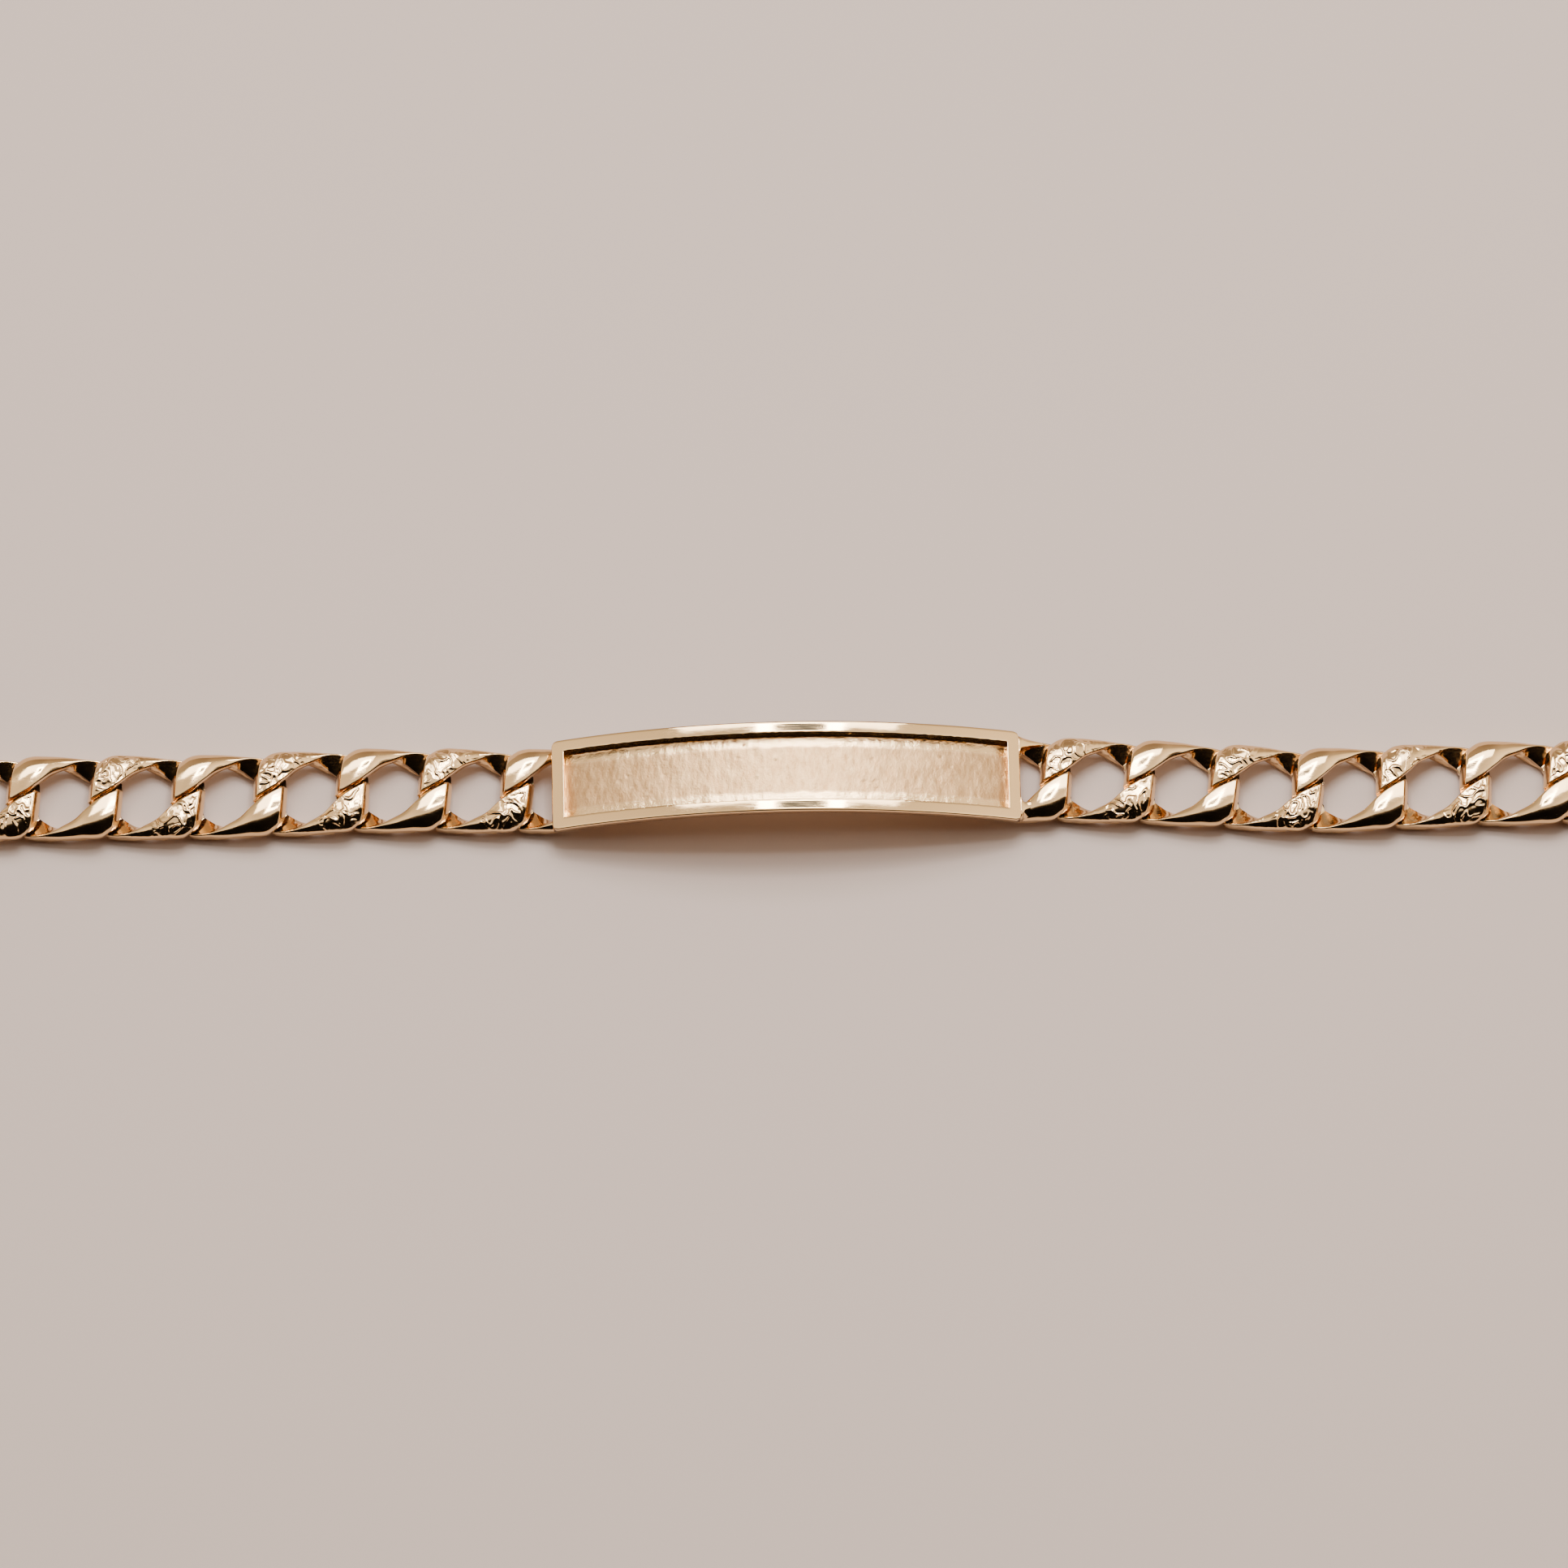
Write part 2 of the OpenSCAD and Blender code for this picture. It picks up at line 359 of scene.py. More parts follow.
# %% Cross-sections of a high leaf, in millimetres
# Across: foot of the inner side, low and high edge of the chamfer, crown, start of the flank, end
# of the flank, foot of the outer side.
HIGH_LEAF = [
    [(-3.96, -0.40, 0.10), (-3.95, -0.40, 0.30), (-3.93, -0.05, 0.32), (-3.86, 0.85, 0.36),
     (-3.74, 1.60, 0.40), (-3.54, 2.10, 0.40), (-3.52, 2.14, 0.10)],
    [(-3.68, -0.30, 0.10), (-3.71, -0.41, 0.76), (-3.66, -0.30, 1.02), (-3.54, 0.80, 1.12),
     (-3.43, 1.60, 1.04), (-3.27, 2.35, 0.55), (-3.25, 2.38, 0.10)],
    [(-3.06, 0.10, 0.10), (-3.03, -0.05, 0.86), (-2.98, 0.06, 1.12), (-2.84, 1.15, 1.19),
     (-2.74, 2.02, 1.08), (-2.66, 2.73, 0.58), (-2.64, 2.77, 0.10)],
    [(-2.33, 0.56, 0.10), (-2.30, 0.39, 0.87), (-2.25, 0.49, 1.13), (-2.14, 1.52, 1.20),
     (-2.08, 2.28, 1.08), (-2.05, 2.86, 0.60), (-2.05, 2.885, 0.10)],
    [(-1.60, 1.16, 0.10), (-1.56, 0.97, 0.82), (-1.51, 1.07, 1.06), (-1.42, 1.82, 1.12),
     (-1.40, 2.42, 1.00), (-1.40, 2.86, 0.57), (-1.40, 2.885, 0.10)],
    [(-0.90, 1.74, 0.10), (-0.86, 1.57, 0.58), (-0.81, 1.67, 0.81), (-0.72, 2.10, 0.87),
     (-0.70, 2.48, 0.79), (-0.70, 2.86, 0.46), (-0.70, 2.885, 0.00)],
    [(-0.02, 2.10, 0.10), (0.00, 1.99, 0.40), (0.00, 2.09, 0.57), (0.00, 2.34, 0.61),
     (0.00, 2.57, 0.56), (0.02, 2.84, 0.33), (0.02, 2.88, -0.10)],
    [(0.75, 1.95, -0.12), (0.70, 2.32, 0.29), (0.70, 2.40, 0.40), (0.70, 2.51, 0.42),
     (0.70, 2.62, 0.38), (0.72, 2.80, 0.20), (0.72, 2.84, -0.20)],
    [(1.38, 1.52, -0.34), (1.40, 2.50, 0.16), (1.40, 2.58, 0.23), (1.40, 2.63, 0.24),
     (1.40, 2.68, 0.21), (1.42, 2.75, 0.08), (1.42, 2.77, -0.30)],
    [(1.78, 1.22, -0.44), (2.05, 2.54, 0.03), (2.05, 2.60, 0.07), (2.05, 2.64, 0.07),
     (2.05, 2.67, 0.05), (2.07, 2.71, -0.03), (2.07, 2.73, -0.40)],
    [(2.25, 1.00, -0.46), (2.65, 2.47, -0.09), (2.65, 2.51, -0.07), (2.65, 2.54, -0.07),
     (2.65, 2.57, -0.08), (2.67, 2.60, -0.12), (2.67, 2.61, -0.45)],
]
# A low leaf, as it looks when the link is turned over. Its tip stays under the high leaf's end.
LOW_LEAF = [
    [(-3.86, -0.34, 0.10), (-3.85, -0.34, 0.30), (-3.88, -0.05, 0.32), *HIGH_LEAF[0][3:]],
    [(-3.76, -0.27, 0.10), (-3.77, -0.27, 0.48), (-3.58, 0.17, 0.98), (-3.52, 0.90, 1.11),
     (-3.42, 1.58, 0.99), (-3.26, 2.26, 0.55), (-3.24, 2.29, 0.10)],
    [(-3.12, 0.10, 0.10), (-3.12, 0.10, 0.55), (-2.90, 0.57, 1.05), (-2.80, 1.32, 1.18),
     (-2.74, 1.95, 1.05), (-2.66, 2.55, 0.58), (-2.64, 2.58, 0.10)],
    [(-2.40, 0.54, 0.10), (-2.40, 0.54, 0.55), (-2.18, 0.98, 1.05), (-2.12, 1.65, 1.19),
     (-2.08, 2.18, 1.04), (-2.05, 2.65, 0.60), (-2.05, 2.68, 0.10)],
    [(-1.82, 0.89, 0.30), (-1.81, 0.90, 0.60), (-1.77, 1.15, 1.00), (-1.70, 1.90, 1.13),
     (-1.62, 2.26, 1.00), (-1.56, 2.68, 0.58), (-1.56, 2.71, 0.10)],
    [(-1.72, 1.36, 0.46), (-1.70, 1.38, 0.62), (-1.62, 1.36, 0.93), (-1.40, 2.00, 1.05),
     (-1.32, 2.30, 0.93), (-1.26, 2.70, 0.55), (-1.26, 2.73, 0.10)],
    [(-1.05, 1.80, 0.30), (-1.05, 1.80, 0.55), (-1.00, 1.70, 1.00), (-0.92, 2.10, 1.05),
     (-0.86, 2.42, 0.95), (-0.84, 2.73, 0.50), (-0.84, 2.76, 0.10)],
    [(-0.42, 2.08, 0.10), (-0.42, 2.06, 0.40), (-0.40, 2.00, 0.85), (-0.34, 2.28, 0.93),
     (-0.30, 2.52, 0.83), (-0.30, 2.74, 0.45), (-0.30, 2.78, 0.10)],
    [(0.10, 2.18, -0.05), (0.10, 2.16, 0.20), (0.10, 2.14, 0.55), (0.10, 2.34, 0.62),
     (0.10, 2.52, 0.55), (0.10, 2.72, 0.30), (0.10, 2.76, -0.05)],
]
BEVELLED, CHAMFERED = 1, 2


def on_curve(points, t, first):
    """A place on straight lines up to the point numbered first, and on a smooth curve after it."""
    i = min(int(t), len(points) - 2)
    step = t - i
    if i < first:
        return points[i].lerp(points[i + 1], step)
    leaving = (points[i + 1] - points[max(i - 1, first)]) / (2 if i > first else 1)
    last = i + 2 > len(points) - 1
    arriving = (points[min(i + 2, len(points) - 1)] - points[i]) / (1 if last else 2)
    return (
        points[i] * (2 * step**3 - 3 * step**2 + 1)
        + leaving * (step**3 - 2 * step**2 + step)
        + points[i + 1] * (3 * step**2 - 2 * step**3)
        + arriving * (step**3 - step**2)
    )


print("sections of a high leaf:", len(HIGH_LEAF), "and of a low one:", len(LOW_LEAF))

# %% [markdown]
# The bark finish is cast from wax that ran in threads over the leaf. They are rounded, a quarter
# of a millimetre wide, and wander so that no two links match. Noise bent by more noise is zero
# along just such wandering lines, so a rounded ridge stands wherever it is near zero. Between the
# ridges the leaf stays smooth. The leaf that lies to the front is worked a little deeper.

# %% Bark relief
THREAD = 0.6  # pitch of the noise, in millimetres
RIDGE = 0.26  # noise values nearer to zero than this belong to a thread
BARK_H, FRONT_BARK_H = 0.062, 0.085
BARK_MEAN = 0.45  # taken off, so that the bark raises the leaf as much as it lowers it
SEEDS_APART = 4.7
BEND_BY, BEND_PITCH = 0.7, 0.7
SWELL_BY, SWELL_PITCH = 0.3, 0.5
BENDS = [Vector((9.3, -1.5, -7.9)), Vector((3.2, 8.1, 2.6)), Vector((-6.2, 4.9, 5.5))]


def fade(value, start, end):
    """Runs smoothly from 0 at start to 1 at end."""
    t = min(max((value - start) / (end - start), 0.0), 1.0)
    return t * t * (3 - 2 * t)


def bark_height(x, y, seed):
    """The bark at a place on a leaf, about 0 between the threads and 1 on the back of one."""
    here = Vector((x, y, seed * SEEDS_APART)) / THREAD
    bends = Vector([noise.noise(here * BEND_PITCH + bend) for bend in BENDS])
    wander = noise.noise(here + BEND_BY * bends)
    thread = (1 - min(abs(wander) / RIDGE, 1) ** 2) ** 2
    return thread + SWELL_BY * noise.noise(here * SWELL_PITCH)


tried = [bark_height(-3 + 0.1 * i, 1.5, 1) for i in range(30)]
print("bark from", round(BARK_H * min(tried), 3), "to", round(BARK_H * max(tried), 3), "mm high")

# %% [markdown]
# A leaf starts as a flat grid. Each grid point takes its place on the curves through the table
# above, and the rim is then extruded down and closed underneath. Two grid lines lie close to each
# edge of the chamfer, one on each side of it, so that the edge is cut off and catches a thin
# light, as buffed edges do. Past the corner the block reaches deeper, because there it's the whole
# side bar. The bark fades out before the leaf's edges and its thin end, as it does on a real link.

# %% One leaf as a closed block
STEP_START, STEP_END = -1.5, -1.38
DEEPEN_START, DEEPEN_END = 0.2, 1.2
SHALLOW, DEEP = 0.25, 0.7
ROUND = 0.08
BARK_ACROSS = (2.0, 2.5, 4.3, 5.0)
BARK_ALONG = (1.1, 1.5, 4.6, 5.8)


def grid_lines(count, rounded, parts):
    """Where grid lines lie along a row of sections. A rounded edge has one on each side of it."""
    lines = [0.0]
    for i in range(1, count):
        before = lines[-1]
        stop = i - ROUND if i in rounded else float(i)
        steps = parts[min(i - 1, len(parts) - 1)]
        lines += [before + (stop - before) * k / steps for k in range(1, steps + 1)]
        if i in rounded:
            lines.append(i + ROUND)
    return lines


def between(value, start, full, falls, end):
    """0 outside start and end, 1 from full to falls, and smooth in between."""
    return fade(value, start, full) * (1 - fade(value, falls, end))


def leaf_block(sections, along, across, bark_seed=None, deep=True, bark_h=BARK_H):
    """A leaf from its rounded face down to its flat underside, as a bmesh in millimetres."""
    rows = [[Vector(p) for p in section] for section in sections]
    us = grid_lines(len(rows), {BEVELLED}, [2, *along])
    vs = grid_lines(len(rows[0]), {1, CHAMFERED}, [2, 2, *across, 3])
    bm = bmesh.new()
    foot = bm.verts.layers.int.new("inner_foot")
    bmesh.ops.create_grid(bm, x_segments=len(us) - 1, y_segments=len(vs) - 1, size=0.5)
    columns = list(zip(*rows))
    curves = {u: [on_curve(column, u, BEVELLED) for column in columns] for u in us}
    for vert in bm.verts:
        u = us[round((vert.co.x + 0.5) * (len(us) - 1))]
        v = vs[round((vert.co.y + 0.5) * (len(vs) - 1))]
        vert.co = on_curve(curves[u], v, CHAMFERED)
        vert[foot] = int(v == 0)
        if bark_seed is not None:
            keep = between(v, *BARK_ACROSS) * between(u, *BARK_ALONG)
            bark = bark_height(vert.co.x, vert.co.y, bark_seed)
            vert.co.z += keep * bark_h * (bark - BARK_MEAN)
    rim = [e for e in bm.edges if e.is_boundary]
    made = bmesh.ops.extrude_edge_only(bm, edges=rim)["geom"]
    low_rim = [g for g in made if isinstance(g, bmesh.types.BMEdge)]
    for vert in {v for e in low_rim for v in e.verts}:
        rises = vert[foot] and not deep
        vert.co.z = max(LEVEL_GAP / 2, vert.co.z - LEVEL_GAP / 2) if rises else LEVEL_GAP / 2
        if deep:
            deeper = fade(vert.co.x, DEEPEN_START, DEEPEN_END)
            below = LEVEL_GAP / 2 + SHALLOW + (DEEP - SHALLOW) * deeper
            vert.co.z -= below * fade(vert.co.x, STEP_START, STEP_END)
    bmesh.ops.triangle_fill(bm, use_beauty=True, edges=low_rim)
    bmesh.ops.recalc_face_normals(bm, faces=bm.faces)
    return bm


sample = leaf_block(HIGH_LEAF, [3], [4])
closed = all(e.is_manifold for e in sample.edges)
print("one plain leaf:", len(sample.faces), "faces, closed:", closed)
sample.free()

# %% [markdown]
# Four leaves make the link. A low leaf is a high one turned over about the chain's line. Where a
# high and a low leaf of the same link cross in its end bars, a small core joins them. The blocks
# run into each other inside the metal, which never shows, so no boolean is needed and the polish
# stays clean.

# %% A whole link
SEAM_RISE = HOOK * math.tan(SEAM_ANGLE)
TIP = Vector((-HALF_L, SEAM_GAP / 2 / math.cos(SEAM_ANGLE) - SEAM_RISE))
BAR_LEFT = -3.84
CORE_HALF, CORE_SLANT = 0.1, 0.5
CORE_L, CORE_OUTER, CORE_INNER = 0.93, 0.32, 0.25
SECOND_SEED = 0.37


def append(bm, part, turn):
    """Adds a part's mesh to bm, turned in place."""
    bmesh.ops.transform(part, matrix=turn, verts=part.verts)
    mesh = bpy.data.meshes.new("part")
    part.to_mesh(mesh)
    part.free()
    bm.from_mesh(mesh)
    bpy.data.meshes.remove(mesh)


def bar_core():
    """The middle of a link's left end bar, between its high and its low leaf."""
    bm = bmesh.new()
    outline = [
        (BAR_LEFT, -CORE_OUTER),
        (BAR_LEFT + CORE_L, -CORE_INNER),
        (BAR_LEFT + CORE_L, CORE_INNER),
        (BAR_LEFT, CORE_OUTER),
    ]
    corners = [bm.verts.new((x, y, CORE_SLANT * y - CORE_HALF)) for x, y in outline]
    base = bm.faces.new(corners)
    top = bmesh.ops.extrude_face_region(bm, geom=[base])["geom"]
    lifted = [g for g in top if isinstance(g, bmesh.types.BMVert)]
    bmesh.ops.translate(bm, vec=(0, 0, 2 * CORE_HALF), verts=lifted)
    bmesh.ops.recalc_face_normals(bm, faces=bm.faces)
    return bm


def link_metal(detail, bark_seed=None):
    """The metal of a link, in millimetres about its middle."""
    bm = bmesh.new()
    over = Matrix.Rotation(math.pi, 4, "X")
    for k, height in enumerate((BARK_H, FRONT_BARK_H)):
        spin = Matrix.Rotation(k * math.pi, 4, "Z")
        seed = None if bark_seed is None else bark_seed + SECOND_SEED * k
        append(bm, leaf_block(HIGH_LEAF, *detail, seed, bark_h=height), spin)
        append(bm, leaf_block(LOW_LEAF, [3], [2], deep=False), spin @ over)
        append(bm, bar_core(), spin)
    return bm


core = bar_core()
print("the core joins its leaves over", round(core.calc_volume(), 3), "cubic millimetres")
core.free()

# %% [markdown]
# A finished piece keeps its place in its mesh, and its object stays at the origin. Buffed gold is
# smooth but for its real edges, so an edge is shaded sharp only where its two faces turn by more
# than an angle. The same helper that makes a piece of a mesh serves the floor and the cards round
# it.

# %% From a mesh to a piece
PLAIN_EDGE, BARK_EDGE = math.radians(32), math.radians(62)


def show(name, data):
    """Puts a mesh, a light or a camera into the scene as an object."""
    made = bpy.data.objects.new(name, data)
    bpy.context.scene.collection.objects.link(made)
    return made


def as_object(bm, name, materials):
    """Makes an object of a bmesh, with its materials in the order of their slots."""
    mesh = bpy.data.meshes.new(name)
    bm.to_mesh(mesh)
    bm.free()
    for material in materials:
        mesh.materials.append(material)
    return show(name, mesh)


def finish_mesh(bm, name, place, materials, sharp=PLAIN_EDGE):
    """Puts a mesh made in millimetres in its place, smooth but for edges past the angle sharp."""
    bmesh.ops.transform(bm, matrix=place @ Matrix.Scale(MM, 4), verts=bm.verts)
    for face in bm.faces:
        face.smooth = True
    for edge in bm.edges:
        if edge.is_manifold:
            edge.smooth = edge.calc_face_angle() < sharp
    return as_object(bm, name, materials)


sharp_past = [round(math.degrees(edge)) for edge in (PLAIN_EDGE, BARK_EDGE)]
print("edges are sharp past these degrees, plain and bark:", sharp_past)

# %% [markdown]
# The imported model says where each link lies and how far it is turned. Its box gives its middle.
# Its leftmost corner is one of the two tips of its left bar, so the direction from the middle to
# that corner, less the tip's own angle, is the link's heading.

# %% Places of the links
TIP_ANGLE = math.atan2(-TIP.y, -TIP.x)


def middle_of(node):
    low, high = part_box(node)
    return (low + high) / 2


def heading_of(node):
    """How far a link is turned about Z, in radians."""
    centre = middle_of(node)
    left = min((v.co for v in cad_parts[node].data.vertices), key=lambda co: co.x)
    arm = left - centre
    angle = math.atan2(arm.y, -arm.x)
    return -(angle - math.copysign(TIP_ANGLE, arm.y))


def place_of(node):
    centre = middle_of(node)
    shift = Matrix.Translation((centre.x, centre.y, HALF_T * MM))
    return shift @ Matrix.Rotation(heading_of(node), 4, "Z")


first_turn = math.degrees(heading_of("link_right_01"))
print("the first right link is turned by", round(first_turn, 1), "degrees")

# %% [markdown]
# Links with an odd number carry bark and the others are plain. A bark leaf needs a fine grid,
# because each thread is only a quarter of a millimetre wide, and a plain one does with a coarse
# one. The bark's own slopes are steep, so its meshes are shaded smooth up to a larger angle.

# %% Dress the twenty-four links
PLAIN_DETAIL = ([5], [4])
BARK_DETAIL = ([14, 20, 24, 24, 18, 8, 4], [32, 24, 18])
chain_nodes = [f"link_{side}_{i:02d}" for side in ("left", "right") for i in range(1, 13)]
for number, node in enumerate(chain_nodes):
    is_bark = int(node[-2:]) % 2 == 1
    if is_bark:
        metal = link_metal(BARK_DETAIL, bark_seed=number + 1)
        piece = finish_mesh(metal, "gold_" + node, place_of(node), [bark_gold], BARK_EDGE)
    else:
        metal = link_metal(PLAIN_DETAIL)
        piece = finish_mesh(metal, "gold_" + node, place_of(node), [polished_gold])
    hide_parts(node)
    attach(piece, "root")
print("headings:", [round(math.degrees(heading_of(n)), 2) for n in chain_nodes])

# %% [markdown]
# The name plate is a strip bent to the wrist, with a raised border round a sunk panel. It could be
# cut out of a block with booleans. Here one flat grid is laid out in plan, with its lines gathered
# where edges are rounded and where the walls stand. Each grid point is then given its height, and
# last of all the strip is bent along its arch, so that the border keeps one width all round.

# %% Sizes of the plate
PLATE_L, PLATE_W, PLATE_T = 31.6, 6.3, 1.35
PLATE_R = 39.5
PLATE_RISE = 0.05
BORDER_W = 0.83
PANEL_HALF_L, PANEL_HALF_W = PLATE_L / 2 - BORDER_W, PLATE_W / 2 - BORDER_W
PANEL_D = 0.95
CORNER_R = 0.45
PLATE_EDGE_R, INNER_EDGE_R = 0.08, 0.06
WALL_LINES = (-0.045, -0.03, -0.005, 0.02, INNER_EDGE_R)
FLOOR_STOPS, BORDER_STEPS = 0.07, 6
EDGE_LINE = 0.3
LONG_STEPS, CROSS_STEPS = 110, 26


def lines_across(half, floor_steps):
    """Grid lines from one edge of the plate to the other, over border, wall, floor and back."""
    wall = half - BORDER_W
    border = BORDER_W - INNER_EDGE_R - PLATE_EDGE_R
    lines = [(wall - FLOOR_STOPS) * i / floor_steps for i in range(floor_steps + 1)]
    lines += [wall + step for step in WALL_LINES]
    lines += [wall + INNER_EDGE_R + border * i / BORDER_STEPS for i in range(1, BORDER_STEPS + 1)]
    # Three lines share the plate's edge, because two of them go down its side.
    lines += [half - EDGE_LINE * PLATE_EDGE_R, half, half, half]
    return [-v for v in reversed(lines[1:])] + lines


print("grid lines across the plate:", len(lines_across(PLATE_W / 2, CROSS_STEPS)))

# %% [markdown]
# The panel's floor is the skin of the mould: low swells, faint streaks and small pits. The skin
# makes the floor stand 0.1 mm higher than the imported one. The border's top isn't quite flat,
# because lapping leaves a narrow flat strip along its middle and falls off to both sides. So its
# reflections bend.

# %% Depth of the plate's face
SKIN = 0.1
WALL_TOP, WALL_FOOT = -0.01, 0.035
SKIN_STARTS = 0.06
SWELL_H, SWELLS_PER_MM = 0.03, 1.1
STREAK_H, STREAKS_ALONG, STREAKS_ACROSS = 0.02, 6, 1.5
PIT_D, PIT_IN, PIT_OUT, PITS_PER_MM = 0.06, 0.06, 0.16, 1.6
SWELL_SLICE, STREAK_SLICE = 3.1, 0.4
BORDER_CROWN_R, BORDER_FLAT = 14.0, 0.1


def inside_panel(x, y):
    """How far a place is inside the walls of the sunk panel, and below zero on the border."""
    return min(PANEL_HALF_L - abs(x), PANEL_HALF_W - abs(y))


def rounding(distance, radius):
    """How far a rounded edge has fallen at a distance inside the edge."""
    if distance >= radius:
        return 0.0
    return radius - math.sqrt(radius**2 - (radius - distance) ** 2)


def panel_relief(x, y):
    """The as-cast skin: low swells, streaks and small pits, in millimetres."""
    here = Vector((x, y, SWELL_SLICE))
    thin = Vector((x * STREAKS_ALONG, y * STREAKS_ACROSS, STREAK_SLICE))
    swell = SWELL_H * noise.noise(here * SWELLS_PER_MM)
    streak = STREAK_H * noise.noise(thin)
    pit = noise.voronoi(here * PITS_PER_MM)[0][0]
    return swell + streak - PIT_D * (1 - fade(pit, PIT_IN, PIT_OUT))


def face_depth(x, y):
    """How deep a place on the plate's face lies under the arch."""
    inside = inside_panel(x, y)
    if inside < 0:
        depth = rounding(-inside, INNER_EDGE_R)
    else:
        depth = (PANEL_D - SKIN) * fade(inside, WALL_TOP, WALL_FOOT)
    if inside > SKIN_STARTS:
        depth -= panel_relief(x, y)
    edge = min(PLATE_L / 2 - abs(x), PLATE_W / 2 - abs(y))
    from_crown = min(edge, BORDER_W) - BORDER_W / 2
    depth += rounding(edge, PLATE_EDGE_R)
    return depth + max(0.0, from_crown**2 - BORDER_FLAT**2) / (2 * BORDER_CROWN_R)


print("the middle of the panel lies", round(face_depth(0, 0), 3), "mm deep")

# %% [markdown]
# The plate's outline has small round corners. A point of the grid in the corner square is pulled
# in so that the square's edge becomes a quarter circle, and the points inside follow in
# proportion. The panel's edge was cleared by hand, so it wanders by a twentieth of a millimetre.
# A strip of floor along the long walls is smoother and painted paler as a painted sheen, and its
# width wanders too.

# %% Corners, ragged edge and painted sheen strip
RAGGED, RAGGED_FULL, RAGGED_ENDS = 0.05, 0.04, 0.08
RAGGED_PER_MM, RAGGED_ROW = 4.0, 3.0
# Width and wander of the floor strip that is smoother and painted paler as a painted sheen.
SHEEN_W, SHEEN_END, SHEEN_WANDER = 0.6, 0.85, 0.12
SHEEN_WANDERS_PER_MM, SHEEN_SLICE = 1.3, 6.0


def rounded_corner(x, y):
    """Moves a point of the plate's corner square onto the same place of its quarter circle."""
    corner_x, corner_y = PLATE_L / 2 - CORNER_R, PLATE_W / 2 - CORNER_R
    over_x, over_y = abs(x) - corner_x, abs(y) - corner_y
    if over_x <= 0 or over_y <= 0:
        return x, y
    a, b = over_x / CORNER_R, over_y / CORNER_R
    a, b = a * math.sqrt(1 - b * b / 2), b * math.sqrt(1 - a * a / 2)
    return math.copysign(corner_x + a * CORNER_R, x), math.copysign(corner_y + b * CORNER_R, y)


def ragged_edge(x, y):
    """Where y goes beside the panel's wall, which wanders a little."""
    near = 1 - fade(abs(inside_panel(x, y)), RAGGED_FULL, RAGGED_ENDS)
    along = Vector((x * RAGGED_PER_MM, math.copysign(RAGGED_ROW, y), 0))
    return y + RAGGED * near * noise.noise(along)


def wall_sheen_share(x, y):
    """1 on the strip of floor along the long walls that is smoother and painted paler as a painted
    sheen, and 0 off it.
    """
    wander = SHEEN_WANDER * noise.noise(Vector((x * SHEEN_WANDERS_PER_MM, y, SHEEN_SLICE)))
    return 1 - fade(PANEL_HALF_W - abs(y) + wander, SHEEN_W, SHEEN_END)


print("the corner's tip moves to", [round(c, 3) for c in rounded_corner(PLATE_L / 2, PLATE_W / 2)])

# %% [markdown]
# Depth is measured square to the arch. The grid's outer two lines lie on the edge itself and go
# down its side. The underside is the same grid extruded, drawn in under the edge so that the sides
# lean in, and the doubles at the corners are merged. Each face knows its finish by its material
# slot: lapped border, as-cast floor, or buffed metal underneath and on the half-links.

# %% The plate as one bent grid
WALL_DEPTHS = [0.7, 0.2]
UNDERCUT = 0.35
FLOOR_STARTS = 0.04
MERGE = 0.0005
ON_BORDER, ON_PANEL, BUFFED = 0, 1, 2


def on_arch(x, depth):
    """Height of a place that lies depth under the arch, above the middle of the links."""
    top = math.sqrt(PLATE_R**2 - x**2) - math.sqrt(PLATE_R**2 - (PLATE_L / 2) ** 2)
    return HALF_T + PLATE_RISE + top - depth / math.cos(math.asin(x / PLATE_R))


def plate_face():
    """The plate's face, down to the outer edge of its sides."""
    xs, ys = lines_across(PLATE_L / 2, LONG_STEPS), lines_across(PLATE_W / 2, CROSS_STEPS)
    bm = bmesh.new()
    wall_sheen = bm.verts.layers.float.new("wall_sheen")
    bmesh.ops.create_grid(bm, x_segments=len(xs) - 1, y_segments=len(ys) - 1, size=0.5)
    for vert in bm.verts:
        column = round((vert.co.x + 0.5) * (len(xs) - 1))
        row = round((vert.co.y + 0.5) * (len(ys) - 1))
        x, y = xs[column], ys[row]
        ring = min(column, len(xs) - 1 - column, row, len(ys) - 1 - row)
        depth = WALL_DEPTHS[ring] if ring < len(WALL_DEPTHS) else face_depth(x, y)
        # How much painted sheen, and how much smoothness, a point of the floor by the long walls
        # gets.
        vert[wall_sheen] = wall_sheen_share(x, y)
        x, y = rounded_corner(x, ragged_edge(x, y))
        vert.co = (x, y, on_arch(x, depth))
    for face in bm.faces:
        middle = face.calc_center_median()
        sunk = inside_panel(middle.x, middle.y) > FLOOR_STARTS
        face.material_index = ON_PANEL if sunk else ON_BORDER
    return bm


def plate_metal():
    """The whole plate without its half-links, in millimetres about its middle."""
    bm = plate_face()
    under = bmesh.ops.extrude_face_region(bm, geom=bm.faces[:], use_keep_orig=True)["geom"]
    for vert in (g for g in under if isinstance(g, bmesh.types.BMVert)):
        x = max(-PLATE_L / 2 + UNDERCUT, min(PLATE_L / 2 - UNDERCUT, vert.co.x))
        y = max(-PLATE_W / 2 + UNDERCUT, min(PLATE_W / 2 - UNDERCUT, vert.co.y))
        vert.co = (x, y, on_arch(x, PLATE_T))
    for face in (g for g in under if isinstance(g, bmesh.types.BMFace)):
        face.material_index = BUFFED
    bmesh.ops.remove_doubles(bm, verts=bm.verts, dist=MERGE)
    bmesh.ops.recalc_face_normals(bm, faces=bm.faces)
    return bm


plate = plate_metal()
print("faces of the bare plate:", len(plate.faces))

# %% [markdown]
# Solder ran from the plate's right end into the two arms that it carries. It leads the border on
# into the arms with a hollow curve, tall at the plate and thin at its end. Each fillet is a table
# of sections like a leaf's, so the same helper makes it.

